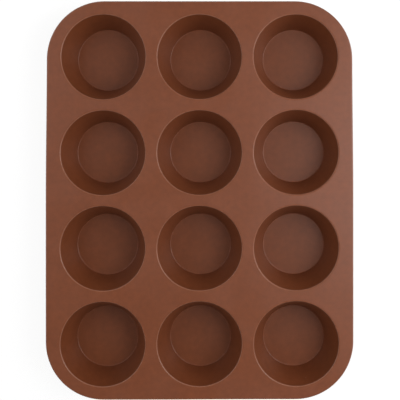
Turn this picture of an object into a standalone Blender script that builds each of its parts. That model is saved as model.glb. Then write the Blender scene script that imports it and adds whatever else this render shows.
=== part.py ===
"""Flexible silicone baking pan with twelve cups in four rows of three.

Metres, +Z up. The pan stands on z = 0 with its centre over the origin. Its length runs along Y: row 1 is
at +Y and row 4 at -Y, and column 1 is at -X.

A flat top sheet with rounded corners carries everything: a bead hangs under its edge, and the cups hang
under its round mouths. The stiff cups keep each row flat, so the sheet bends in the narrow webs between
the rows. Each row is therefore a body of its own, and turns about the middle of the web beside it.
"""

import math

import bmesh
import bpy

# The pattern of cups
row_count = 4
column_count = 3
held_row = 2

# Top sheet
pan_height = 0.032
sheet_thickness = 0.0026
side_margin = 0.0117
end_margin = 0.01095
corner_margin = 0.0129
edge_round = 0.0020

# Cups
mouth_radius = 0.0351
floor_radius = 0.0262
cup_wall = 0.0013
mouth_round = 0.0011
floor_round = 0.0022
row_gap = 0.0091
column_gap = 0.0100

# Edge bead and bending webs
bead_width = 0.0040
bead_depth = 0.0034
bead_round = 0.0010
web_land = 0.0011

# Running gap between neighbouring solids, and how far a cutter runs past what it cuts
seam_gap = 0.0003
cutter_overrun = 0.0010

# Facets
cup_segments = 32
corner_steps = 9
edge_steps = 3
mouth_steps = 2
floor_steps = 2
weld_distance = 0.000001
smooth_angle = math.radians(40)

# Finish of the moulding
silicone_brown = (0.180, 0.062, 0.034, 1.0)
silicone_roughness = 0.48

# Sizes that follow from the ones above
row_pitch = 2 * mouth_radius + row_gap
column_pitch = 2 * mouth_radius + column_gap
half_length = (row_count - 1) * row_pitch / 2 + mouth_radius + end_margin
half_width = (column_count - 1) * column_pitch / 2 + mouth_radius + side_margin
corner_radius = mouth_radius + corner_margin
sheet_under = pan_height - sheet_thickness
cup_top = sheet_under - seam_gap
bead_top = sheet_under - seam_gap
bead_bottom = sheet_under - bead_depth
draft = math.atan2(mouth_radius - floor_radius, pan_height - cup_wall)


def row_y(row):
    """Y of a row's cup centres."""
    return ((row_count + 1) / 2 - row) * row_pitch


def column_x(column):
    """X of a column's cup centres."""
    return (column - (column_count + 1) / 2) * column_pitch


def fold_y(row):
    """Y of the web's middle, between this row and the next."""
    return (row_y(row) + row_y(row + 1)) / 2


def wall_radius(height):
    """Inside radius of a cup's tapered wall at this height, as if neither end were rounded."""
    return floor_radius + (height - cup_wall) * math.tan(draft)


def mouth_round_centre():
    """Radius and height of the centre of the rounding between the wall and the sheet's top."""
    height = pan_height - mouth_round
    return wall_radius(height) + mouth_round / math.cos(draft), height


def floor_round_centre():
    """Radius and height of the centre of the rounding between the wall and the cup's floor."""
    height = cup_wall + floor_round
    return wall_radius(height) - floor_round / math.cos(draft), height


web_half_width = row_gap / 2 + mouth_radius - mouth_round_centre()[0] - web_land


def arc(centre, radius, start, end, steps):
    """Points from angle start to angle end, where angle 0 is outwards and a quarter turn is up."""
    angles = [start + (end - start) * step / steps for step in range(steps + 1)]
    return [(centre[0] + radius * math.cos(angle), centre[1] + radius * math.sin(angle)) for angle in angles]


def silicone(name):
    """The moulding's matt brown, as one material for each family of sub-parts."""
    material = bpy.data.materials.new(name)
    material.use_nodes = True
    shader = material.node_tree.nodes["Principled BSDF"]
    shader.inputs["Base Color"].default_value = silicone_brown
    shader.inputs["Roughness"].default_value = silicone_roughness
    shader.inputs["Metallic"].default_value = 0.0
    return material


def finished_mesh(name, shape, material):
    """Turns a bmesh into a closed mesh with its faces out, smooth but for its real edges."""
    bmesh.ops.remove_doubles(shape, verts=shape.verts, dist=weld_distance)
    bmesh.ops.recalc_face_normals(shape, faces=shape.faces)
    mesh = bpy.data.meshes.new(name)
    shape.to_mesh(mesh)
    shape.free()
    mesh.shade_smooth()
    mesh.set_sharp_from_angle(angle=smooth_angle)
    mesh.materials.append(material)
    return mesh


def add(name, mesh, body, location=(0, 0, 0)):
    """Puts a mesh in the scene at its place in the pan, parented to its row's empty."""
    piece = bpy.data.objects.new(name, mesh)
    bpy.context.scene.collection.objects.link(piece)
    piece.location = location
    piece.parent = body
    piece.matrix_parent_inverse = body.matrix_world.inverted()
    return piece


def turned_mesh(name, profile, material):
    """Spins a profile that starts and ends on the axis round Z."""
    shape = bmesh.new()
    points = [shape.verts.new((radius, 0, height)) for radius, height in profile]
    edges = [shape.edges.new(pair) for pair in zip(points, points[1:])]
    bmesh.ops.spin(
        shape,
        geom=points + edges,
        cent=(0, 0, 0),
        axis=(0, 0, 1),
        angle=math.tau,
        steps=cup_segments,
        use_merge=True,
    )
    return finished_mesh(name, shape, material)


def end_edge(y_cut, side):
    """The sheet's edge round one end of the pan, as (x, y, outward x, outward y).

    It runs from the cut on one long side to the cut on the other. side is 1 at row 1's end and -1 at
    the last row's.
    """
    corner_y = half_length - corner_radius
    edge = [(-half_width, side * y_cut, -1, 0)]
    for corner_side, start in ((-1, math.pi), (1, math.pi / 2)):
        corner_x = corner_side * (half_width - corner_radius)
        for step in range(corner_steps + 1):
            angle = start - math.pi / 2 * step / corner_steps
            out_x, out_y = math.cos(angle), math.sin(angle)
            x, y = corner_x + corner_radius * out_x, corner_y + corner_radius * out_y
            edge.append((x, side * y, out_x, side * out_y))
    edge.append((half_width, side * y_cut, 1, 0))
    return edge


def side_edge(y_low, y_high, side):
    """A straight stretch of the sheet's edge on one long side: side is -1 at column 1 and 1 opposite."""
    ends = (y_low, y_high) if side < 0 else (y_high, y_low)
    return [(side * half_width, y, side, 0) for y in ends]


def ring_at(shape, edge, inset, height):
    """One vertex for each point of an edge, moved in by inset."""
    return [shape.verts.new((x - inset * out_x, y - inset * out_y, height)) for x, y, out_x, out_y in edge]


def sheet_profile():
    """The sheet's edge from its underside to its top, as (inset, height)."""
    centre = (edge_round, pan_height - edge_round)
    return [(0, sheet_under)] + arc(centre, edge_round, math.pi, math.pi / 2, edge_steps)


def bead_profile(top):
    """The bead under the sheet's edge, down its outer side and up its inner one, as (inset, height)."""
    outer = (bead_round, bead_bottom + bead_round)
    inner = (bead_width - bead_round, bead_bottom + bead_round)
    down = arc(outer, bead_round, math.pi, math.pi * 3 / 2, edge_steps)
    up = arc(inner, bead_round, math.pi * 3 / 2, math.tau, edge_steps)
    return [(0, top)] + down + up + [(bead_width, top)]


def sheet_mesh(name, outline, material):
    """A stretch of the top sheet inside an outline, rounded along its outer edge."""
    shape = bmesh.new()
    rings = [ring_at(shape, outline, inset, height) for inset, height in sheet_profile()]
    for lower, upper in zip(rings, rings[1:]):
        for index in range(len(outline)):
            shape.faces.new((lower[index - 1], lower[index], upper[index], upper[index - 1]))
    shape.faces.new(rings[0])
    shape.faces.new(rings[-1])
    return finished_mesh(name, shape, material)


def bead_mesh(name, edge, material):
    """The bead's profile swept along a stretch of the sheet's edge."""
    shape = bmesh.new()
    profile = bead_profile(bead_top)
    strands = [ring_at(shape, edge, inset, height) for inset, height in profile]
    for first, second in zip(strands, strands[1:] + strands[:1]):
        for index in range(len(edge) - 1):
            shape.faces.new((first[index], first[index + 1], second[index + 1], second[index]))
    for end in (0, -1):
        shape.faces.new([strand[end] for strand in strands])
    return finished_mesh(name, shape, material)


def web_mesh(name, row, material):
    """The bending web after a row: the sheet's own section with its bead at both ends, run along Y."""
    half_section = sheet_profile()[::-1] + bead_profile(sheet_under)[1:]
    right = [(half_width - inset, height) for inset, height in half_section]
    left = [(-x, height) for x, height in reversed(right)]
    y_low = fold_y(row) - web_half_width + seam_gap
    shape = bmesh.new()
    section = shape.faces.new([shape.verts.new((x, y_low, height)) for x, height in right + left])
    grown = bmesh.ops.extrude_face_region(shape, geom=[section], use_keep_orig=True)
    moved = [item for item in grown["geom"] if isinstance(item, bmesh.types.BMVert)]
    bmesh.ops.translate(shape, verts=moved, vec=(0, 2 * (web_half_width - seam_gap), 0))
    return finished_mesh(name, shape, material)


def cup_mesh(material):
    """One cup: a tapered wall and a flat floor of even thickness, open at the sheet's underside."""
    round_centre = floor_round_centre()
    wall_end = -draft
    inside = arc(round_centre, floor_round, -math.pi / 2, wall_end, floor_steps)
    outside = arc(round_centre, floor_round + cup_wall, wall_end, -math.pi / 2, floor_steps)
    lip = wall_radius(cup_top)
    top = [(lip, cup_top), (lip + cup_wall / math.cos(draft), cup_top)]
    return turned_mesh("cup", [(0, cup_wall)] + inside + top + outside + [(0, 0)], material)


def mouth_cutter_mesh(material):
    """What is cut from the sheet for one cup: the tapered wall's space, flared by the mouth's rounding."""
    round_centre = mouth_round_centre()
    below = sheet_under - cutter_overrun
    above = pan_height + cutter_overrun
    flare = arc(round_centre, mouth_round, math.pi - draft, math.pi / 2, mouth_steps)
    wall = [(0, below), (wall_radius(below), below)]
    return turned_mesh("mouth_cutter", wall + flare + [(round_centre[0], above), (0, above)], material)


def cut_mouths(sheet, row, cutter_mesh, body):
    """Opens the sheet over each cup of a row."""
    for column in range(1, column_count + 1):
        place = (column_x(column), row_y(row), 0)
        cutter = add(f"mouth_cutter_r{row}_c{column}", cutter_mesh, body, place)
        cutter.hide_render = True
        cutter.display_type = "WIRE"
        cut = sheet.modifiers.new(f"mouth_{column}", "BOOLEAN")
        cut.operation = "DIFFERENCE"
        cut.solver = "EXACT"
        cut.object = cutter


def add_body(row, location, carrier=None):
    """An empty that carries a row's pieces, itself carried by the neighbouring row's if it has one."""
    body = bpy.data.objects.new(f"row_{row}_body", None)
    bpy.context.scene.collection.objects.link(body)
    body.location = location
    if carrier:
        body.parent = carrier
        body.matrix_parent_inverse = carrier.matrix_world.inverted()
    bpy.context.view_layer.update()
    return body


def row_bodies():
    """A body for each row, on the axis that the row turns about; the held row's is at the origin."""
    fold_height = pan_height - sheet_thickness / 2
    bodies = {held_row: add_body(held_row, (0, 0, 0))}
    for row in range(held_row - 1, 0, -1):
        bodies[row] = add_body(row, (0, fold_y(row), fold_height), bodies[row + 1])
    for row in range(held_row + 1, row_count + 1):
        bodies[row] = add_body(row, (0, fold_y(row - 1), fold_height), bodies[row - 1])
    return bodies


def row_limits(row):
    """Y of a row's lower and upper ends, at the webs or at the pan's ends."""
    low = -half_length if row == row_count else fold_y(row) + web_half_width
    high = half_length if row == 1 else fold_y(row - 1) - web_half_width
    return low, high


def build_row(row, body, cup, cutter, materials):
    """The sheet, bead and cups of one row."""
    low, high = row_limits(row)
    if row in (1, row_count):
        side = 1 if row == 1 else -1
        outline = end_edge(low if row == 1 else -high, side)
        beads = {f"bead_row_{row}": outline}
    else:
        left, right = side_edge(low, high, -1), side_edge(low, high, 1)
        outline = left + right
        beads = {f"bead_left_row_{row}": left, f"bead_right_row_{row}": right}
    name = f"sheet_row_{row}"
    sheet = add(name, sheet_mesh(name, outline, materials["sheet"]), body)
    cut_mouths(sheet, row, cutter, body)
    for name, edge in beads.items():
        add(name, bead_mesh(name, edge, materials["bead"]), body)
    for column in range(1, column_count + 1):
        add(f"cup_r{row}_c{column}", cup, body, (column_x(column), row_y(row), 0))


def build_pan():
    """Every row, and the webs between them, each carried by whichever of its rows is nearer the held one."""
    materials = {family: silicone(f"silicone_{family}") for family in ("sheet", "bead", "web", "cup")}
    bodies = row_bodies()
    cup = cup_mesh(materials["cup"])
    cutter = mouth_cutter_mesh(materials["sheet"])
    for row, body in bodies.items():
        build_row(row, body, cup, cutter, materials)
    for row in range(1, row_count):
        name = f"web_{row}_{row + 1}"
        carrier = bodies[row + 1 if row < held_row else row]
        add(name, web_mesh(name, row, materials["web"]), carrier)


def clear_scene():
    """Removes whatever the opened file holds."""
    for leftover in list(bpy.data.objects):
        bpy.data.objects.remove(leftover)


clear_scene()
build_pan()
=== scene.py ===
"""Finished look of a flexible silicone baking pan with twelve cups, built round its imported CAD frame.

Metres, +Z up, in the frame's own place: row 1 is at +Y, column 1 at -X, and the pan stands on z = 0.
The real pan is one moulding. Its sheet, webs and edge bead are three continuous skins here, which bend
across the folds, and each cup is a skin of its own that rides on its row. One relief shapes them all,
so they meet exactly.
"""

import logging
import math
from collections.abc import Iterable, Sequence
from dataclasses import dataclass
from enum import Enum

import bmesh
import bpy
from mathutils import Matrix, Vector, noise
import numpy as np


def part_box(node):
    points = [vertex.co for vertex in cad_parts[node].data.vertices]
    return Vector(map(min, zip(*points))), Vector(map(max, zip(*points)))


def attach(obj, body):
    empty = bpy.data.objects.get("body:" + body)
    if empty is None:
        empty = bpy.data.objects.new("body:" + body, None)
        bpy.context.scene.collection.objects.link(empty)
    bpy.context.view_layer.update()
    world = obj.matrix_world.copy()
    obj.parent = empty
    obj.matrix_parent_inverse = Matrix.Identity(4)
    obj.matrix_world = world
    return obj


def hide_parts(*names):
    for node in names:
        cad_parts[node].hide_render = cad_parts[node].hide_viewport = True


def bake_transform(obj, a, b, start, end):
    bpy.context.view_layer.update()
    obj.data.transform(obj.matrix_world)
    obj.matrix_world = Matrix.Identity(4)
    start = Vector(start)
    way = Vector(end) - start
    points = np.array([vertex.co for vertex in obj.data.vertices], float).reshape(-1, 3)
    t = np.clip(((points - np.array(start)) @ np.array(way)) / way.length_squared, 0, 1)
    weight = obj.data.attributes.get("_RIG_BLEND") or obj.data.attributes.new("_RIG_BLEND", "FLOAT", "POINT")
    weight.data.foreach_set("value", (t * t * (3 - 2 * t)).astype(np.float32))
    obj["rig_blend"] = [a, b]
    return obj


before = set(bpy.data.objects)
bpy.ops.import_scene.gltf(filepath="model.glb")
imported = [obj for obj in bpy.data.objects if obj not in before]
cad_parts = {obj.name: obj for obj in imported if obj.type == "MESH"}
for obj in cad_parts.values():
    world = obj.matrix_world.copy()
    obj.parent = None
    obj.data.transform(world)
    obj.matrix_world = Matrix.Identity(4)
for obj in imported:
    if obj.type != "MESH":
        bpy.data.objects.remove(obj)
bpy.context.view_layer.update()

LOG = logging.getLogger("baking_pan")
PLACE_ATTRIBUTE = "rest_place"
ROWS = range(1, 5)
COLUMNS = range(1, 4)

# Rays in the full turn round a cup, as many in the sheet as in the cup, so that the two skins meet
RAY_COUNT = 120
# Distance from a rounding to the line of points that keeps the flat beside it flat
SUPPORT_OFFSET = 0.0003
# The Mix node's colour sockets share their names with its others, so they go by number
MIX_FIRST = 6
MIX_SECOND = 7
MIX_RESULT = 2

Point = tuple[float, float, float]
ProfilePoint = tuple[float, float]
Colour = tuple[float, float, float, float]
Vertex = bmesh.types.BMVert
Socket = bpy.types.NodeSocket
Material = bpy.types.Material


class Fold(Enum):
    """The webs that the pan bends in. Each names its CAD web and the bodies on its +Y and -Y sides."""

    FIRST = ("web_1_2", "row_1", "row_2")
    SECOND = ("web_2_3", "row_2", "row_3")
    THIRD = ("web_3_4", "row_3", "row_4")

    def __init__(self, web: str, upper_body: str, lower_body: str) -> None:
        """Names the parts of the fold."""
        self.web = web
        self.upper_body, self.lower_body = upper_body, lower_body


class Stretch(Enum):
    """The part of a cup's surroundings that a skin takes in, as shares of the full turn of rays."""

    WHOLE = (0.0, 1.0)
    UPPER_HALF = (0.0, 0.5)
    LOWER_HALF = (0.5, 1.0)


def smoothstep(value: float) -> float:
    """Eases 0 to 1 in and out, and holds outside that range."""
    held = min(max(value, 0.0), 1.0)
    return held * held * (3 - 2 * held)


def arc(
    centre: ProfilePoint, radius: float, start: float, end: float, steps: int
) -> list[ProfilePoint]:
    """Points along a circular arc of a profile.

    Args:
        centre: Centre of the arc.
        radius: Its radius.
        start: First angle, where 0 points along the profile's first axis and a quarter turn up.
        end: Last angle.
        steps: Number of straight pieces.

    Returns:
        The points, both ends included.
    """
    angles = [start + (end - start) * step / steps for step in range(steps + 1)]
    return [(centre[0] + radius * math.cos(a), centre[1] + radius * math.sin(a)) for a in angles]


def inner_shares(steps: int) -> list[float]:
    """Where a length divided into equal steps is cut, as shares of it."""
    return [step / steps for step in range(1, steps)]


def along(
    start: Sequence[float], end: Sequence[float], shares: Iterable[float]
) -> list[tuple[float, ...]]:
    """Points on the straight line between two points.

    Args:
        start: Where a share of 0 would be.
        end: Where a share of 1 would be.
        shares: How far along each point lies.

    Returns:
        One point for each share.
    """
    return [tuple(a + (b - a) * share for a, b in zip(start, end)) for share in shares]


def middle_of(node: str) -> Vector:
    """Centre of a CAD node's box."""
    low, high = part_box(node)
    return (low + high) / 2


def placed(name: str, data: bpy.types.ID, place: Point = (0.0, 0.0, 0.0)) -> bpy.types.Object:
    """Puts a mesh, lamp or camera in the scene.

    Args:
        name: Name of the new object.
        data: What the object shows.
        place: Where it goes.

    Returns:
        The new object.
    """
    item = bpy.data.objects.new(name, data)
    item.location = place
    bpy.context.scene.collection.objects.link(item)
    return item


@dataclass(frozen=True)
class PanSizes:
    """Sizes of the moulding. The frame gives the first eight, and the others are named here."""

    top: float
    under: float
    bead_bottom: float
    half_width: float
    half_length: float
    columns: tuple[float, ...]
    rows: tuple[float, ...]
    folds: tuple[float, ...]
    corner_radius: float = 0.0480
    edge_round: float = 0.0011
    bead_width: float = 0.0040
    bead_round: float = 0.0010
    mouth_radius: float = 0.0353
    floor_radius: float = 0.0262
    cup_wall: float = 0.0013
    mouth_round: float = 0.0010
    floor_round: float = 0.0007
    mouth_land: float = 0.0003
    under_round: float = 0.0015
    bend_reach: float = 0.0028
    edge_stand: float = 0.00045

    @classmethod
    def from_frame(cls) -> "PanSizes":
        """Reads the places of the sheet, bead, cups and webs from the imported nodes.

        The long sides stand out past the sheet's own by edge_stand.

        Returns:
            The sizes for this pan.
        """
        sheet_low, sheet_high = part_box("sheet_row_1")
        bead_low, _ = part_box("bead_row_1")
        return cls(
            top=sheet_high.z,
            under=sheet_low.z,
            bead_bottom=bead_low.z,
            half_width=sheet_high.x + cls.edge_stand,
            half_length=sheet_high.y,
            columns=tuple(middle_of(f"cup_r1_c{column}").x for column in COLUMNS),
            rows=tuple(middle_of(f"cup_r{row}_c1").y for row in ROWS),
            folds=tuple(middle_of(fold.web).y for fold in Fold),
        )

    @property
    def draft(self) -> float:
        """Angle of a cup's wall from upright."""
        return math.atan2(self.mouth_radius - self.floor_radius, self.top - self.cup_wall)

    def wall_radius(self, height: float) -> float:
        """Inside radius of a cup's wall at a height, as if neither end were rounded."""
        return self.floor_radius + (height - self.cup_wall) * math.tan(self.draft)

    def mouth_round_centre(self) -> ProfilePoint:
        """Centre of the rounding between a cup's wall and the sheet's top."""
        height = self.top - self.mouth_round
        return self.wall_radius(height) + self.mouth_round / math.cos(self.draft), height

    @property
    def hole_radius(self) -> float:
        """Radius where a cup's skin hands over to the sheet's, on the flat just outside the mouth."""
        return self.mouth_round_centre()[0] + self.mouth_land


@dataclass(frozen=True)
class Relief:
    """How the soft moulding lies: a little wavy, drawn in towards row 1, and askew towards row 4."""

    top: float
    half_width: float
    wave: float = 0.00030
    wave_length: float = 0.075
    draw_in: float = 0.0009
    draw_from: float = 0.0
    draw_to: float = 0.130
    skew: float = 0.0030
    skew_from: float = 0.165
    skew_to: float = 0.040

    def moved(self, place: Vector) -> Vector:
        """Where a point of the true shape comes to lie.

        Args:
            place: The point in the true shape.

        Returns:
            The point in the finished shape. At z = 0, where the pan stands, nothing rises or sinks.
        """
        draw = smoothstep((place.y - self.draw_from) / (self.draw_to - self.draw_from))
        drawn = -self.draw_in * draw * place.x / self.half_width
        askew = smoothstep((self.skew_from - place.y) / (self.skew_from - self.skew_to))
        lift = smoothstep(place.z / self.top)
        sample = Vector((place.x, place.y, 0.0)) / self.wave_length
        rise = self.wave * noise.noise(sample) * lift
        return place + Vector((drawn, self.skew * place.x * askew, rise))


@dataclass(frozen=True)
class EdgePoint:
    """A point on the edge of a stretch of sheet.

    out_x and out_y point out of the pan where the point is on the pan's own edge, and are 0 elsewhere.
    """

    x: float
    y: float
    out_x: float = 0.0
    out_y: float = 0.0

    @property
    def is_outer(self) -> bool:
        """True on the pan's own edge."""
        return bool(self.out_x or self.out_y)

    def inset(self, distance: float, height: float) -> Point:
        """The point at a height, moved in from the pan's edge where it lies on that edge."""
        return self.x - distance * self.out_x, self.y - distance * self.out_y, height


@dataclass(frozen=True)
class Outline:
    """The pan's outline: a rectangle with round corners."""

    half_width: float
    half_length: float
    corner_radius: float
    tolerance: float = 0.000001

    def is_corner(self, x: float, y: float) -> bool:
        """True where the rectangle's own corner has been rounded away."""
        reach = self.corner_radius - self.tolerance
        return abs(x) > self.half_width - reach and abs(y) > self.half_length - reach

    def settled(self, x: float, y: float, run: float, rise: float) -> EdgePoint:
        """Puts a point of a ray on the outline where the ray has gone past it.

        Args:
            x: Where the ray left its own stretch of sheet.
            y: The same, along the pan.
            run: The ray's direction in x.
            rise: The ray's direction in y.

        Returns:
            The edge point, with its outward direction where it is on the outline.
        """
        if self.is_corner(x, y):
            return self.on_corner(x, y, run, rise)
        if abs(x) > self.half_width - self.tolerance:
            return EdgePoint(x, y, math.copysign(1.0, x), 0.0)
        if abs(y) > self.half_length - self.tolerance:
            return EdgePoint(x, y, 0.0, math.copysign(1.0, y))
        return EdgePoint(x, y)

    def on_corner(self, x: float, y: float, run: float, rise: float) -> EdgePoint:
        """Draws a ray back from the rectangle's side to the round corner that it passes.

        Args:
            x: Where the ray meets the rectangle.
            y: The same, along the pan.
            run: The ray's direction in x.
            rise: The ray's direction in y.

        Returns:
            The point on the round corner.
        """
        centre_x = math.copysign(self.half_width - self.corner_radius, x)
        centre_y = math.copysign(self.half_length - self.corner_radius, y)
        from_x, from_y = x - centre_x, y - centre_y
        ahead = from_x * run + from_y * rise
        beyond = from_x**2 + from_y**2 - self.corner_radius**2
        back = ahead - math.sqrt(max(ahead**2 - beyond, 0.0))
        out_x = (from_x - back * run) / self.corner_radius
        out_y = (from_y - back * rise) / self.corner_radius
        on_x, on_y = centre_x + self.corner_radius * out_x, centre_y + self.corner_radius * out_y
        return EdgePoint(on_x, on_y, out_x, out_y)


@dataclass(frozen=True)
class Cell:
    """The sheet round one cup, out to the neighbouring cups, the webs and the pan's edge."""

    x: float
    y: float
    west: float
    east: float
    south: float
    north: float
    outline: Outline

    def edge(self) -> list[EdgePoint]:
        """The cell's edge as seen from the cup's centre.

        Returns:
            One edge point for each ray. The ray nearest to each square corner is drawn to it.
        """
        step = math.tau / RAY_COUNT
        points = [self.edge_point(ray * step) for ray in range(RAY_COUNT)]
        for x in (self.west, self.east):
            for y in (self.south, self.north):
                if not self.outline.is_corner(x, y):
                    ray = round(math.atan2(y - self.y, x - self.x) / step) % RAY_COUNT
                    points[ray] = self.outline.settled(x, y, 0.0, 0.0)
        return points

    def edge_point(self, angle: float) -> EdgePoint:
        """Finds where a ray from the cup's centre leaves the cell.

        Args:
            angle: The ray's angle from +X.

        Returns:
            The edge point there.
        """
        run, rise = math.cos(angle), math.sin(angle)
        side = self.east if run > 0 else self.west
        end = self.north if rise > 0 else self.south
        to_side = (side - self.x) / run
        to_end = (end - self.y) / rise if abs(rise) > self.outline.tolerance else math.inf
        if to_side > 0 and to_side < to_end:
            return self.outline.settled(side, self.y + to_side * rise, run, rise)
        return self.outline.settled(self.x + to_end * run, end, run, rise)


class Shape:
    """A mesh in the making, point by point, in the pan's true shape."""

    merge_distance = 0.000001
    crease_angle = math.radians(40)

    def __init__(self) -> None:
        """Starts with nothing."""
        self.body = bmesh.new()

    def points(self, places: Iterable[Sequence[float]]) -> list[Vertex]:
        """Adds one vertex for each place."""
        return [self.body.verts.new(place) for place in places]

    def strip(self, first: Sequence[Vertex], second: Sequence[Vertex]) -> None:
        """Joins two rows of vertices by a strip of four-sided faces."""
        for index in range(len(first) - 1):
            self.body.faces.new((first[index], first[index + 1], second[index + 1], second[index]))

    def finished(self, name: str, relief: Relief, finish: Material) -> bpy.types.Object:
        """Closes the mesh, gives it the relief and its finish, and puts it in the scene.

        Args:
            name: Name of the piece.
            relief: The relief that every skin shares.
            finish: The piece's material.

        Returns:
            The new object, with each vertex's place before the relief kept for the patterns.
        """
        shape = self.body
        bmesh.ops.remove_doubles(shape, verts=shape.verts, dist=self.merge_distance)
        open_edges = [edge for edge in shape.edges if edge.is_boundary]
        bmesh.ops.holes_fill(shape, edges=open_edges, sides=0)
        bmesh.ops.recalc_face_normals(shape, faces=shape.faces)
        mesh = bpy.data.meshes.new(name)
        shape.to_mesh(mesh)
        shape.free()
        places = mesh.attributes.new(PLACE_ATTRIBUTE, "FLOAT_VECTOR", "POINT")
        for vertex, place in zip(mesh.vertices, places.data):
            place.vector = vertex.co
            vertex.co = relief.moved(vertex.co)
        mesh.shade_smooth()
        mesh.set_sharp_from_angle(angle=self.crease_angle)
        mesh.materials.append(finish)
        return placed(name, mesh)


@dataclass(frozen=True)
class SheetSection:
    """The section of the sheet from a mouth out to the pan's edge and back underneath."""

    sizes: PanSizes
    radial_steps: int = 6
    edge_steps: int = 8
    bead_steps: int = 4
    parting_height: float = 0.00035
    parting_stand: float = 0.00010

    @property
    def top_inset(self) -> float:
        """How far in from the pan's edge the flat top ends."""
        return self.sizes.edge_round + SUPPORT_OFFSET

    @property
    def under_inset(self) -> float:
        """How far in from the pan's edge the flat underside ends."""
        return self.sizes.bead_width + self.sizes.bead_round + SUPPORT_OFFSET

    def edge_profile(self) -> list[ProfilePoint]:
        """The pan's edge from the flat top round to the flat underside.

        Returns:
            Points as (distance in from the edge, height): the rounding, the fine line where the mould's
            halves parted, the bead, and the fillet behind the bead.
        """
        size, small = self.sizes, self.sizes.bead_round
        shoulder = size.top - size.edge_round
        edge_centre = (size.edge_round, shoulder)
        edge = arc(edge_centre, size.edge_round, math.pi / 2, math.pi, self.edge_steps)
        line = shoulder - self.parting_height
        half = self.parting_height / 2
        parting = [(0.0, line + half), (-self.parting_stand, line), (0.0, line - half)]
        low = size.bead_bottom + small
        outer = arc((small, low), small, math.pi, math.pi * 3 / 2, self.bead_steps)
        inner = arc((size.bead_width - small, low), small, math.pi * 3 / 2, math.tau, self.bead_steps)
        fillet_centre = (size.bead_width + small, size.under - small)
        fillet = arc(fillet_centre, small, math.pi, math.pi / 2, self.bead_steps)
        return edge + parting + outer + inner + fillet

    def ray(self, mouth: ProfilePoint, edge: EdgePoint) -> tuple[list[Point], list[Point], list[Point]]:
        """The section along one ray from a mouth.

        Args:
            mouth: Where the ray starts, on the hole's edge.
            edge: Where it ends.

        Returns:
            The places along the top going out, round the pan's edge, and back along the underside.
        """
        size = self.sizes
        top_start, under_start = (*mouth, size.top), (*mouth, size.under)
        top_end = edge.inset(self.top_inset, size.top)
        under_end = edge.inset(self.under_inset, size.under)
        shares = inner_shares(self.radial_steps)
        top = [top_start, *along(top_start, top_end, shares), top_end]
        under = [under_end, *along(under_end, under_start, shares), under_start]
        rim = [edge.inset(*point) for point in self.edge_profile()] if edge.is_outer else []
        return top, rim, under


@dataclass
class SheetSkin:
    """One continuous skin of top sheet, edge bead and web, which bends across a single fold."""

    name: str
    fold: Fold
    sizes: PanSizes
    relief: Relief
    section: SheetSection
    upper_cells: Sequence[Cell]
    lower_cells: Sequence[Cell]
    upper_stretch: Stretch
    lower_stretch: Stretch
    replaced: Sequence[str]
    finish: Material
    web_steps: int = 12
    place_digits: int = 9

    @property
    def fold_y(self) -> float:
        """Y of the fold's middle."""
        return middle_of(self.fold.web).y

    def build(self) -> bpy.types.Object:
        """Makes the skin, dresses it and hangs it across its fold.

        Returns:
            The finished piece.
        """
        shape = Shape()
        for cell in self.upper_cells:
            self.add_cell(shape, cell, self.upper_stretch)
        for cell in self.lower_cells:
            self.add_cell(shape, cell, self.lower_stretch)
        self.add_web(shape)
        piece = shape.finished(self.name, self.relief, self.finish)
        fold_height = (self.sizes.top + self.sizes.under) / 2
        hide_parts(*self.replaced)
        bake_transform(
            piece,
            self.fold.upper_body,
            self.fold.lower_body,
            start=(0, self.fold_y + self.sizes.bend_reach, fold_height),
            end=(0, self.fold_y - self.sizes.bend_reach, fold_height),
        )
        return piece

    def add_cell(self, shape: Shape, cell: Cell, stretch: Stretch) -> None:
        """Adds the sheet round one cup, or half of it.

        Args:
            shape: The mesh in the making.
            cell: The cup's surroundings.
            stretch: Which of its rays to take.
        """
        edge = cell.edge()
        first, last = (round(share * RAY_COUNT) for share in stretch.value)
        previous = None
        for index in range(first, last + 1):
            ray = index % RAY_COUNT
            angle = math.tau * ray / RAY_COUNT
            radius = self.sizes.hole_radius
            mouth = (cell.x + radius * math.cos(angle), cell.y + radius * math.sin(angle))
            top, rim, under = (shape.points(part) for part in self.section.ray(mouth, edge[ray]))
            if previous:
                last_top, last_rim, last_under = previous
                shape.strip(last_top, top)
                shape.strip(last_under, under)
                shape.strip([last_under[-1], last_top[0]], [under[-1], top[0]])
                if last_rim and rim:
                    shape.strip([last_top[-1], *last_rim, last_under[0]], [top[-1], *rim, under[0]])
            previous = (top, rim, under)

    def web_stations(self) -> list[float]:
        """Finds where the rays end along the web's +Y side.

        Returns:
            The X of each, from west to east, without the pan's own edge.
        """
        stations = set()
        for cell in self.upper_cells:
            for point in cell.edge():
                on_web = abs(point.y - cell.south) < Shape.merge_distance
                if on_web and not point.is_outer:
                    stations.add(round(point.x, self.place_digits))
        return sorted(stations)

    def add_web(self, shape: Shape) -> None:
        """Adds the web between the rows as sections that match the rays' ends on both sides.

        Args:
            shape: The mesh in the making.
        """
        size, section = self.sizes, self.section
        stations = self.web_stations()
        profile = section.edge_profile()
        previous = None
        for step in range(self.web_steps + 1):
            y = self.fold_y + size.bend_reach * (1 - 2 * step / self.web_steps)
            west, east = EdgePoint(-size.half_width, y, -1.0), EdgePoint(size.half_width, y, 1.0)
            loop = [
                west.inset(section.top_inset, size.top),
                *((x, y, size.top) for x in stations),
                east.inset(section.top_inset, size.top),
                *(east.inset(*point) for point in profile),
                east.inset(section.under_inset, size.under),
                *((x, y, size.under) for x in reversed(stations)),
                west.inset(section.under_inset, size.under),
                *(west.inset(*point) for point in reversed(profile)),
            ]
            ring = shape.points(loop)
            ring.append(ring[0])
            if previous:
                shape.strip(previous, ring)
            previous = ring


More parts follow.
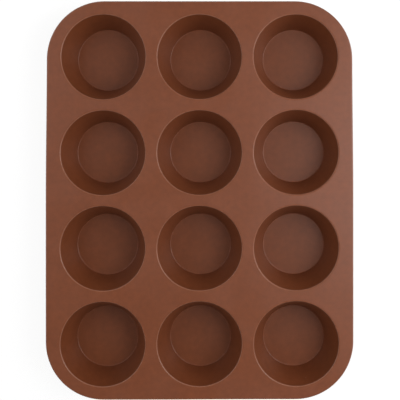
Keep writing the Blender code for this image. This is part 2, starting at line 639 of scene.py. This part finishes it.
@dataclass
class CupSkin:
    """One cup: a tapered wall, a flat floor, a rounded mouth, and a fillet under the sheet."""

    name: str
    body: str
    x: float
    y: float
    sizes: PanSizes
    relief: Relief
    finish: Material
    floor_steps: int = 4
    wall_steps: int = 8
    small_round_steps: int = 6
    large_round_steps: int = 8

    def build(self) -> bpy.types.Object:
        """Makes the cup, dresses it and fixes it to its row.

        Returns:
            The finished piece.
        """
        shape = Shape()
        inside, outside = self.profile()
        rings = [self.ring(shape, point) for point in inside + outside]
        for first, second in zip(rings, rings[1:]):
            shape.strip(first, second)
        self.close_floor(shape, rings[0], inside[0][1])
        self.close_floor(shape, rings[-1], outside[-1][1])
        piece = shape.finished(f"cup_skin_{self.name}", self.relief, self.finish)
        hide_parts(f"cup_{self.name}")
        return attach(piece, self.body)

    def ring(self, shape: Shape, point: ProfilePoint) -> list[Vertex]:
        """Adds a circle of vertices.

        Args:
            shape: The mesh in the making.
            point: The circle's radius and height.

        Returns:
            The vertices, the first repeated at the end.
        """
        radius, height = point
        angles = [math.tau * ray / RAY_COUNT for ray in range(RAY_COUNT)]
        ways = [(radius * math.cos(angle), radius * math.sin(angle)) for angle in angles]
        ring = shape.points((self.x + x, self.y + y, height) for x, y in ways)
        return [*ring, ring[0]]

    def close_floor(self, shape: Shape, ring: Sequence[Vertex], height: float) -> None:
        """Closes a flat disc from its outer circle to its middle.

        Args:
            shape: The mesh in the making.
            ring: The disc's outer circle, its first vertex repeated at the end.
            height: Height of the disc.
        """
        centre = shape.body.verts.new((self.x, self.y, height))
        for first, second in zip(ring, ring[1:]):
            shape.body.faces.new((first, second, centre))

    def profile(self) -> tuple[list[ProfilePoint], list[ProfilePoint]]:
        """The cup's section, from the middle of its floor up to its mouth, and down the outside.

        Returns:
            The inside up to the edge of the sheet's hole, and the outside from there down. Both leave
            out the axis.
        """
        size = self.sizes
        wall_side, steps = math.pi - size.draft, self.small_round_steps
        inside_floor = self.floor_arc(size.floor_round)
        mouth = arc(size.mouth_round_centre(), size.mouth_round, wall_side, math.pi / 2, steps)
        inside = [
            *self.disc(inside_floor[0]),
            *inside_floor,
            *self.wall(inside_floor[-1], mouth[0]),
            *mouth,
            (size.hole_radius, size.top),
        ]
        fillet_height = size.under - size.under_round
        reach = (size.cup_wall + size.under_round) / math.cos(size.draft)
        fillet_centre = (size.wall_radius(fillet_height) + reach, fillet_height)
        fillet = arc(fillet_centre, size.under_round, math.pi / 2, wall_side, steps)
        outside_floor = self.floor_arc(size.floor_round + size.cup_wall)
        outside = [
            (size.hole_radius, size.under),
            *fillet,
            *self.wall(fillet[-1], outside_floor[-1]),
            *reversed(outside_floor),
            *reversed(self.disc(outside_floor[0])),
        ]
        return inside, outside

    def floor_arc(self, radius: float) -> list[ProfilePoint]:
        """The rounding between the floor and the wall, from the floor up.

        Args:
            radius: Its radius, which tells the inside from the outside. They share their centre.

        Returns:
            The points.
        """
        size = self.sizes
        height = size.cup_wall + size.floor_round
        centre = (size.wall_radius(height) - size.floor_round / math.cos(size.draft), height)
        return arc(centre, radius, -math.pi / 2, -size.draft, self.large_round_steps)

    def disc(self, edge: ProfilePoint) -> list[ProfilePoint]:
        """Circles on the flat floor inside its rounding.

        Args:
            edge: Radius and height where the rounding starts.

        Returns:
            The radius and height of each circle, from the middle out.
        """
        radius, height = edge
        circles = [(radius * share, height) for share in inner_shares(self.floor_steps)]
        return [*circles, (radius - SUPPORT_OFFSET, height)]

    def wall(self, start: ProfilePoint, end: ProfilePoint) -> list[ProfilePoint]:
        """Points along the straight wall between two roundings.

        Args:
            start: Where the first rounding ends.
            end: Where the second one starts.

        Returns:
            The points in between, with one close beside each rounding.
        """
        near = SUPPORT_OFFSET / math.dist(start, end)
        return along(start, end, [near, *inner_shares(self.wall_steps), 1 - near])


class Input(Enum):
    """The kinds of socket that an effect has."""

    COLOUR = "NodeSocketColor"
    VALUE = "NodeSocketFloat"
    VECTOR = "NodeSocketVector"


@dataclass(frozen=True)
class Board:
    """A node tree with short ways to fill and wire it."""

    tree: bpy.types.NodeTree

    def add(self, kind: str, inputs: dict | None = None, **settings: object) -> bpy.types.Node:
        """Adds a node.

        Args:
            kind: Blender's name of the node's type, without the prefix ShaderNode where it has it.
            inputs: Plain values and source sockets by input name or number.
            **settings: Properties of the node itself.

        Returns:
            The new node.
        """
        node = self.tree.nodes.new(kind if kind.startswith("NodeGroup") else f"ShaderNode{kind}")
        for name, value in settings.items():
            setattr(node, name, value)
        for name, value in (inputs or {}).items():
            if isinstance(value, Socket):
                self.tree.links.new(value, node.inputs[name])
            else:
                node.inputs[name].default_value = value
        return node

    def math(self, operation: str, first: object, second: object) -> Socket:
        """The result of one arithmetic step on values or sockets."""
        return self.add("Math", {0: first, 1: second}, operation=operation).outputs[0]

    def ramp(self, value: Socket, low: float, high: float) -> Socket:
        """A value eased from 0 at low to 1 at high, and held outside."""
        inputs = {"Value": value, "From Min": low, "From Max": high}
        return self.add("MapRange", inputs, interpolation_type="SMOOTHSTEP").outputs["Result"]

    def blend(self, share: object, first: object, second: object) -> Socket:
        """Mixes two colours, values and sockets alike."""
        inputs = {"Factor": share, MIX_FIRST: first, MIX_SECOND: second}
        return self.add("Mix", inputs, data_type="RGBA").outputs[MIX_RESULT]

    def height_of(self, place: Socket) -> Socket:
        """The Z of a vector."""
        return self.add("SeparateXYZ", {0: place}).outputs["Z"]

    def noise(self, place: Socket, scale: object, detail: float, roughness: float) -> Socket:
        """A value from 0 to 1 that changes smoothly over the surface."""
        inputs = {"Vector": place, "Scale": scale, "Detail": detail, "Roughness": roughness}
        return self.add("TexNoise", inputs).outputs["Fac"]


class Effect:
    """An effect that materials share: a node group with named inputs and outputs, built once."""

    name = "effect"
    inputs: dict[str, Input] = {}
    outputs: dict[str, Input] = {}

    def __init__(self) -> None:
        """Builds the group."""
        self.group = bpy.data.node_groups.new(self.name, "ShaderNodeTree")
        for direction, sockets in (("INPUT", self.inputs), ("OUTPUT", self.outputs)):
            for name, kind in sockets.items():
                self.group.interface.new_socket(name=name, in_out=direction, socket_type=kind.value)
        board = Board(self.group)
        results = self.wire(board, board.add("NodeGroupInput").outputs)
        board.add("NodeGroupOutput", results)

    def wire(self, board: Board, given: bpy.types.NodeOutputs) -> dict[str, Socket]:
        """Makes the effect itself, as each kind of effect does in its own way.

        Args:
            board: The group's board.
            given: The group's inputs by name.

        Returns:
            The socket for each of the group's outputs.
        """
        raise NotImplementedError

    def place(self, board: Board, values: dict[str, object]) -> bpy.types.NodeOutputs:
        """Places the group in a material with its own values."""
        return board.add("Group", values, node_tree=self.group).outputs


class PigmentClouds(Effect):
    """Soft clouds where the pigment is a little denser or thinner."""

    name = "pigment_clouds"
    inputs = {
        "Place": Input.VECTOR,
        "Colour": Input.COLOUR,
        "Strength": Input.VALUE,
        "Scale": Input.VALUE,
    }
    outputs = {"Colour": Input.COLOUR}
    detail = 3.0
    roughness = 0.55
    middle = 0.5

    def wire(self, board: Board, given: bpy.types.NodeOutputs) -> dict[str, Socket]:
        """Brightens and darkens the colour by a noise.

        Args:
            board: The group's board.
            given: The group's inputs.

        Returns:
            The socket of the clouded colour.
        """
        clouds = board.noise(given["Place"], given["Scale"], self.detail, self.roughness)
        swing = board.math("SUBTRACT", clouds, self.middle)
        gain = board.math("ADD", board.math("MULTIPLY", swing, given["Strength"]), 1.0)
        tinted = board.add("VectorMath", {0: given["Colour"], "Scale": gain}, operation="SCALE")
        return {"Colour": tinted.outputs[0]}


class MouldGrain(Effect):
    """The fine satin that a blasted mould leaves, and broad smudges from handling."""

    name = "mould_grain"
    inputs = {"Place": Input.VECTOR, "Grain Scale": Input.VALUE, "Smudge Scale": Input.VALUE}
    outputs = {"Height": Input.VALUE, "Smudge": Input.VALUE}
    grain_detail = 2.0
    grain_roughness = 0.6
    smudge_detail = 4.0
    smudge_roughness = 0.5
    smudge_low = 0.35
    smudge_high = 0.68

    def wire(self, board: Board, given: bpy.types.NodeOutputs) -> dict[str, Socket]:
        """A fine noise for the height and a coarse one for the smudges.

        Args:
            board: The group's board.
            given: The group's inputs.

        Returns:
            The sockets of the height and the smudges.
        """
        place = given["Place"]
        height = board.noise(place, given["Grain Scale"], self.grain_detail, self.grain_roughness)
        smudge = board.noise(place, given["Smudge Scale"], self.smudge_detail, self.smudge_roughness)
        return {"Height": height, "Smudge": board.ramp(smudge, self.smudge_low, self.smudge_high)}


class Dust(Effect):
    """Single specks of dust, which silicone always draws."""

    name = "dust"
    inputs = {
        "Place": Input.VECTOR,
        "Spacing Scale": Input.VALUE,
        "Speck": Input.VALUE,
        "Share": Input.VALUE,
    }
    outputs = {"Mask": Input.VALUE}

    def wire(self, board: Board, given: bpy.types.NodeOutputs) -> dict[str, Socket]:
        """A small dot in some of the cells of a cell noise.

        Args:
            board: The group's board.
            given: The group's inputs.

        Returns:
            The socket of the mask, 1 on a dot.
        """
        cells = board.add("TexVoronoi", {"Vector": given["Place"], "Scale": given["Spacing Scale"]})
        near = board.math("LESS_THAN", cells.outputs["Distance"], given["Speck"])
        draw = board.add("SeparateColor", {"Color": cells.outputs["Color"]}).outputs[0]
        chosen = board.math("LESS_THAN", draw, given["Share"])
        return {"Mask": board.math("MULTIPLY", near, chosen)}


@dataclass(frozen=True)
class Effects:
    """The effects that the silicone finishes share."""

    clouds: PigmentClouds
    grain: MouldGrain
    dust: Dust


@dataclass(frozen=True)
class Band:
    """A band of the moulding between two heights that is smoother, and has a colour of its own: painted
    shade on the cup walls, a painted highlight round the mouths.
    """

    low: float
    high: float
    fade: float
    smoother: float
    colour: Colour

    def mask(self, board: Board, place: Socket) -> Socket:
        """Marks the band.

        Args:
            board: The material's board.
            place: The socket of the surface's place.

        Returns:
            The socket of the mask, 1 inside the band and 0 below and above it.
        """
        height = board.height_of(place)
        above = board.ramp(height, self.low, self.low + self.fade)
        below = board.ramp(height, self.high, self.high - self.fade)
        return board.math("MULTIPLY", above, below)


@dataclass(frozen=True)
class SiliconeFinish:
    """Satin moulded silicone, with the bands that the piece has, whose colours are painted shade and painted
    highlight.
    """

    name: str
    bands: tuple[Band, ...] = ()
    colour: Colour = (0.189, 0.0498, 0.0157, 1.0)
    dust_colour: Colour = (0.42, 0.36, 0.32, 1.0)
    cloud_strength: float = 0.16
    cloud_scale: float = 42.0
    mottle_strength: float = 0.40
    mottle_scale: float = 220.0
    grain_scale: float = 1900.0
    grain_depth: float = 0.00003
    grain_strength: float = 0.35
    smudge_scale: float = 34.0
    roughness: float = 0.40
    roughness_swing: float = 0.06
    refraction: float = 1.41
    specular_level: float = 0.77
    dust_spacing: float = 90.0
    dust_speck: float = 0.026
    dust_share: float = 0.06
    dust_cover: float = 0.55

    def material(self, effects: Effects) -> Material:
        """Builds the finish.

        Args:
            effects: The shared effects.

        Returns:
            The material.
        """
        material = bpy.data.materials.new(self.name)
        material.use_nodes = True
        board = Board(material.node_tree)
        shader = material.node_tree.nodes["Principled BSDF"]
        place = board.add("Attribute", attribute_name=PLACE_ATTRIBUTE).outputs["Vector"]
        scales = {"Grain Scale": self.grain_scale, "Smudge Scale": self.smudge_scale}
        grain = effects.grain.place(board, {"Place": place, **scales})
        relief = {"Strength": self.grain_strength, "Distance": self.grain_depth}
        bump = board.add("Bump", {"Height": grain["Height"], **relief})
        colour = self.colour
        swing = board.math("MULTIPLY", grain["Smudge"], self.roughness_swing)
        roughness = board.math("ADD", swing, self.roughness)
        # Each band lays painted light on the base colour: darker painted shade on the cup walls, a pale
        # painted highlight round the mouths
        for band in self.bands:
            mask = band.mask(board, place)
            colour = board.blend(mask, colour, band.colour)
            roughness = board.math("SUBTRACT", roughness, board.math("MULTIPLY", mask, band.smoother))
        sockets = {
            "Base Color": self.weathered(board, effects, place, colour),
            "Roughness": roughness,
            "Normal": bump.outputs["Normal"],
        }
        for name, socket in sockets.items():
            board.tree.links.new(socket, shader.inputs[name])
        shader.inputs["IOR"].default_value = self.refraction
        shader.inputs["Specular IOR Level"].default_value = self.specular_level
        return material

    def weathered(self, board: Board, effects: Effects, place: Socket, colour: object) -> Socket:
        """Clouds and mottles a colour, and lays specks of dust on it.

        Args:
            board: The material's board.
            effects: The shared effects.
            place: The socket of the surface's place.
            colour: The colour before, as a value or a socket.

        Returns:
            The socket of the colour after.
        """
        swings = ((self.cloud_strength, self.cloud_scale), (self.mottle_strength, self.mottle_scale))
        for strength, scale in swings:
            clouds = {"Place": place, "Colour": colour, "Strength": strength, "Scale": scale}
            colour = effects.clouds.place(board, clouds)["Colour"]
        specks = {"Spacing Scale": self.dust_spacing, "Speck": self.dust_speck, "Share": self.dust_share}
        mask = effects.dust.place(board, {"Place": place, **specks})["Mask"]
        cover = board.math("MULTIPLY", mask, self.dust_cover)
        return board.blend(cover, colour, self.dust_colour)


@dataclass(frozen=True)
class CupLooks:
    """How the cups' finish differs: the mould polished the wall smoother, and its darker colour is painted
    shade; the pale band round the mouth is a painted highlight.
    """

    floor_colour: Colour = (0.192, 0.0525, 0.0168, 1.0)
    specular_level: float = 0.55
    # Darker colour of the cup walls: painted shade inside the cups
    wall_shade_colour: Colour = (0.153, 0.0414, 0.0144, 1.0)
    wall_smoother: float = 0.06
    wall_fade: float = 0.0006
    wall_below_floor: float = 0.0001
    wall_below_top: float = 0.0008
    # Pale colour on the mouth rounding: a painted highlight
    rim_highlight_colour: Colour = (0.255, 0.108, 0.066, 1.0)
    rim_highlight_smoother: float = 0.12
    rim_highlight_fade: float = 0.0003
    rim_highlight_depth: float = 0.0011
    rim_highlight_below_top: float = 0.00003

    def finish(self, sizes: PanSizes) -> SiliconeFinish:
        """The cups' finish, with its bands where this pan's walls and mouths are: painted shade on the
        walls, a painted highlight round the mouths.

        Args:
            sizes: The pan's sizes.

        Returns:
            The finish.
        """
        # The wall band: smoother, and darker as painted shade inside the cup
        low, high = sizes.cup_wall - self.wall_below_floor, sizes.top - self.wall_below_top
        wall = Band(low, high, self.wall_fade, self.wall_smoother, self.wall_shade_colour)
        # The mouth band: smoother, and pale as a painted highlight on the rounding
        low, high = sizes.top - self.rim_highlight_depth, sizes.top - self.rim_highlight_below_top
        mouth = Band(low, high, self.rim_highlight_fade, self.rim_highlight_smoother, self.rim_highlight_colour)
        level = self.specular_level
        return SiliconeFinish("silicone_cups", (wall, mouth), self.floor_colour, specular_level=level)


@dataclass
class BakingPan:
    """The whole moulding: three sheet skins and twelve cups."""

    sizes: PanSizes
    effects: Effects

    def build(self) -> list[bpy.types.Object]:
        """Makes every skin and dresses it.

        Returns:
            The pieces.
        """
        relief = Relief(self.sizes.top, self.sizes.half_width)
        sheet_finish = SiliconeFinish("silicone_sheet").material(self.effects)
        cup_finish = CupLooks().finish(self.sizes).material(self.effects)
        skins = [*self.sheet_skins(relief, sheet_finish), *self.cups(relief, cup_finish)]
        return [skin.build() for skin in skins]

    def cells(self, row: int) -> list[Cell]:
        """Divides the sheet of a row among its cups.

        Args:
            row: The row, counted from 0 at +Y.

        Returns:
            The sheet round each cup, from -X to +X.
        """
        size = self.sizes
        outline = Outline(size.half_width, size.half_length, size.corner_radius)
        middles = [(first + second) / 2 for first, second in zip(size.columns, size.columns[1:])]
        sides = [-size.half_width, *middles, size.half_width]
        south = size.folds[row] + size.bend_reach if row < len(size.folds) else -size.half_length
        north = size.folds[row - 1] - size.bend_reach if row > 0 else size.half_length
        return [
            Cell(x, size.rows[row], west, east, south, north, outline)
            for x, west, east in zip(size.columns, sides, sides[1:])
        ]

    def sheet_skins(self, relief: Relief, finish: Material) -> list[SheetSkin]:
        """Divides the top sheet into three skins, each from one row's middle or end to the next row's.

        Args:
            relief: The relief that every skin shares.
            finish: The sheet's material.

        Returns:
            The skins, from +Y to -Y.
        """
        section = SheetSection(self.sizes)
        beads = (
            ("bead_row_1", "bead_left_row_2", "bead_right_row_2"),
            ("bead_left_row_2", "bead_right_row_2", "bead_left_row_3", "bead_right_row_3"),
            ("bead_left_row_3", "bead_right_row_3", "bead_row_4"),
        )
        skins = []
        for row, (fold, bead) in enumerate(zip(Fold, beads)):
            is_first, is_last = row == 0, row == len(beads) - 1
            skins.append(
                SheetSkin(
                    name=f"top_skin_{fold.upper_body}_to_{fold.lower_body}",
                    fold=fold,
                    sizes=self.sizes,
                    relief=relief,
                    section=section,
                    upper_cells=self.cells(row),
                    lower_cells=self.cells(row + 1),
                    upper_stretch=Stretch.WHOLE if is_first else Stretch.LOWER_HALF,
                    lower_stretch=Stretch.WHOLE if is_last else Stretch.UPPER_HALF,
                    replaced=(f"sheet_{fold.upper_body}", f"sheet_{fold.lower_body}", fold.web, *bead),
                    finish=finish,
                )
            )
        return skins

    def cups(self, relief: Relief, finish: Material) -> list[CupSkin]:
        """Lays out the twelve cups.

        Args:
            relief: The relief that every skin shares.
            finish: The cups' material.

        Returns:
            The cups, row by row.
        """
        return [
            CupSkin(f"r{row}_c{column}", f"row_{row}", x, y, self.sizes, relief, finish)
            for row, y in zip(ROWS, self.sizes.rows)
            for column, x in zip(COLUMNS, self.sizes.columns)
        ]


@dataclass(frozen=True)
class SoftLight:
    """A soft rectangular lamp that shines at its aim. Its width lies level, and its height runs up."""

    name: str
    place: Point
    width: float
    height: float
    watts: float
    aim: Point = (0.0, 0.0, 0.0)

    def build(self) -> bpy.types.Object:
        """Puts the lamp in the scene, where the camera itself doesn't see it.

        Returns:
            The lamp.
        """
        data = bpy.data.lights.new(self.name, "AREA")
        data.shape = "RECTANGLE"
        data.size = self.width
        data.size_y = self.height
        data.energy = self.watts
        lamp = placed(self.name, data, self.place)
        towards = Vector(self.aim) - Vector(self.place)
        lamp.rotation_euler = towards.to_track_quat("-Z", "Y").to_euler()
        lamp.visible_camera = False
        return lamp


@dataclass(frozen=True)
class Camera:
    """The photograph's view: straight down, from a little towards row 1 and column 3."""

    place: Point = (0.02069, 0.04869, 0.7118)
    lens: float = 73.92
    sensor: float = 36.0
    shift_x: float = -0.06125
    shift_y: float = -0.146
    near: float = 0.01
    far: float = 100.0

    def build(self) -> bpy.types.Object:
        """Puts the camera in the scene and makes it the scene's own.

        Returns:
            The camera.
        """
        data = bpy.data.cameras.new("photo_camera")
        data.lens = self.lens
        data.sensor_width = self.sensor
        data.shift_x = self.shift_x
        data.shift_y = self.shift_y
        data.clip_start = self.near
        data.clip_end = self.far
        camera = placed("photo_camera", data, self.place)
        bpy.context.scene.camera = camera
        return camera


@dataclass(frozen=True)
class Studio:
    """A pale floor, white walls, even light, and soft lamps: two on the right and one on the left."""

    floor_half: float = 6.0
    floor_height: float = -0.0002
    floor_colour: Colour = (0.8, 0.8, 0.8, 1.0)
    seen_colour: Colour = (0.17, 0.17, 0.17, 1.0)
    see_through: Colour = (0.88, 0.88, 0.88, 1.0)
    white: Colour = (1.0, 1.0, 1.0, 1.0)
    ambient: float = 0.341
    ceiling: float = 0.05
    wall_top: float = 0.58
    ceiling_edge: float = 0.88
    lights: tuple[SoftLight, ...] = (
        SoftLight("key_light", place=(0.60, 0.10, 0.57), width=0.35, height=0.75, watts=4.69),
        SoftLight("overhead_light", place=(0.36, -0.08, 0.70), width=0.20, height=0.40, watts=0.57),
        SoftLight("fill_light", place=(-0.57, 0.18, 0.60), width=0.60, height=0.60, watts=1.81),
    )

    def build(self) -> None:
        """Puts up the floor, the surroundings and the lamps."""
        self.build_floor()
        self.build_world()
        for light in self.lights:
            light.build()

    def build_floor(self) -> None:
        """Lays a large sheet that keeps the pan's shadow, and isn't seen from underneath."""
        half = self.floor_half
        ring = ((-half, -half), (half, -half), (half, half), (-half, half))
        corners = [(x, y, self.floor_height) for x, y in ring]
        mesh = bpy.data.meshes.new("studio_floor")
        mesh.from_pydata(corners, [], [range(len(corners))])
        mesh.materials.append(self.floor_material())
        placed("studio_floor", mesh)

    @staticmethod
    def background_share(board: Board) -> Socket:
        """Tells which rays show the background: the camera's own, reflected and refracted ones.

        Args:
            board: The board of the floor or the world.

        Returns:
            The socket of the share, 1 for those rays and 0 for the rest.
        """
        path = board.add("LightPath").outputs
        reflected = board.math("MAXIMUM", path["Is Camera Ray"], path["Is Glossy Ray"])
        return board.math("MAXIMUM", reflected, path["Is Transmission Ray"])

    def floor_material(self) -> Material:
        """Makes the floor pale, and frosted to the camera, so that a row folded below it still shows.

        Returns:
            The material.
        """
        material = bpy.data.materials.new("studio_floor")
        material.use_nodes = True
        nodes, links = material.node_tree.nodes, material.node_tree.links
        nodes.remove(nodes["Principled BSDF"])
        board = Board(material.node_tree)
        pale = board.add("BsdfDiffuse", {"Color": self.floor_colour})
        faint = board.add("BsdfDiffuse", {"Color": self.seen_colour})
        through = board.add("BsdfTransparent", {"Color": self.see_through})
        seen = board.add("AddShader", {0: faint.outputs[0], 1: through.outputs[0]})
        share = self.background_share(board)
        top = board.add("MixShader", {0: share, 1: pale.outputs[0], 2: seen.outputs[0]})
        behind = board.add("NewGeometry").outputs["Backfacing"]
        clear = board.add("BsdfTransparent")
        whole = board.add("MixShader", {0: behind, 1: top.outputs[0], 2: clear.outputs[0]})
        links.new(whole.outputs[0], nodes["Material Output"].inputs["Surface"])
        return material

    def build_world(self) -> None:
        """Lights the pan evenly, and shows white walls, with a dim ceiling in reflections."""
        world = bpy.data.worlds.new("studio")
        world.use_nodes = True
        nodes, links = world.node_tree.nodes, world.node_tree.links
        nodes.remove(nodes["Background"])
        board = Board(world.node_tree)
        up = board.height_of(board.add("TexCoord").outputs["Generated"])
        overhead = board.ramp(up, self.wall_top, self.ceiling_edge)
        dimmed = board.math("SUBTRACT", 1.0, board.math("MULTIPLY", overhead, 1.0 - self.ceiling))
        straight = board.add("LightPath").outputs["Is Camera Ray"]
        room = board.add("Background", {"Strength": board.math("MAXIMUM", dimmed, straight)})
        even = board.add("Background", {"Strength": self.ambient})
        for light in (even, room):
            light.inputs["Color"].default_value = self.white
        share = self.background_share(board)
        mixed = board.add("MixShader", {0: share, 1: even.outputs[0], 2: room.outputs[0]})
        links.new(mixed.outputs[0], nodes["World Output"].inputs["Surface"])
        bpy.context.scene.world = world


def main() -> None:
    """Builds the pan and the studio, and notes how many pieces stand for the CAD nodes."""
    logging.basicConfig(level=logging.INFO, format="%(name)s: %(message)s")
    effects = Effects(PigmentClouds(), MouldGrain(), Dust())
    pieces = BakingPan(PanSizes.from_frame(), effects).build()
    LOG.info("%d pieces stand for %d CAD nodes", len(pieces), len(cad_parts))
    Studio().build()
    Camera().build()
    bpy.context.scene.view_settings.view_transform = "Standard"


if __name__ == "__main__":
    main()
